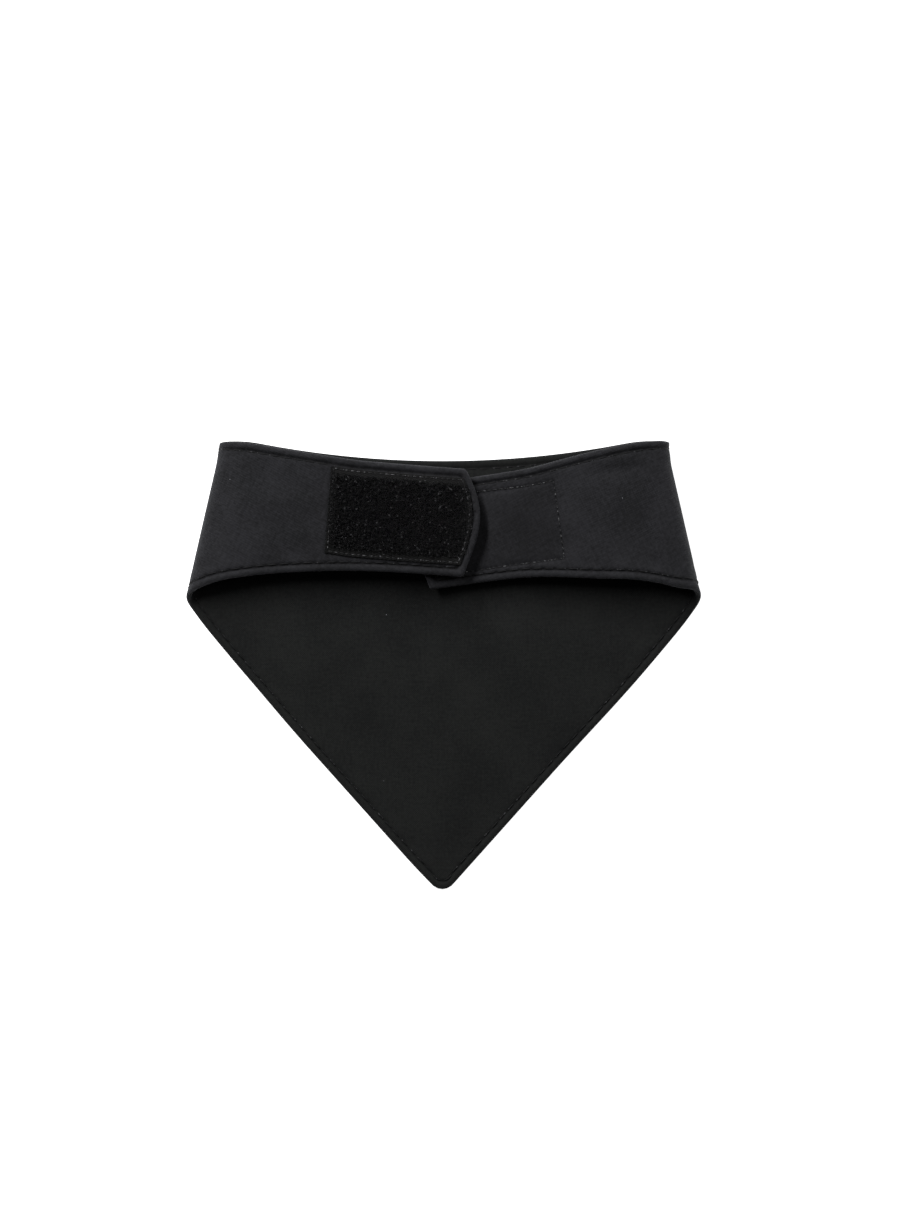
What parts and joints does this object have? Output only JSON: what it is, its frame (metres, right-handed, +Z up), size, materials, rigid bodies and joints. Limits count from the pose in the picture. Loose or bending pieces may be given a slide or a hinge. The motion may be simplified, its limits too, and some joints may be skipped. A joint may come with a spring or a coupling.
{
  "type": "cat bandana",
  "caption": "Black triangular cloth bandana on a curved neck band, lying flat and face down, its two arms folded over and lapped into a loop, with a strip of loop tape and a strip of hook tape.",
  "frame": {"origin": "on the surface it rests on, below the middle of the bounding box", "axes": "+Z up out of the panel, towards the folded arms; +Y from the triangle's tip towards the neckline; +X to the viewer's right"},
  "size_m": [0.1182, 0.1036, 0.0127],
  "materials": {
    "outer_cloth": "black plain-woven cloth, matt with a faint sheen, topstitched in black",
    "lining_cloth": "black plain-woven lining, matt, topstitched in black",
    "loop_tape": "black brushed loop pile on a woven tape with flat woven edges",
    "hook_tape": "black nylon hooks in rows on a woven tape"
  },
  "bodies": {
    "root": {"outer_panel": "outer_cloth", "inner_panel": "lining_cloth", "loop_patch": "loop_tape", "hook_patch": "hook_tape"}
  },
  "joints": []
}
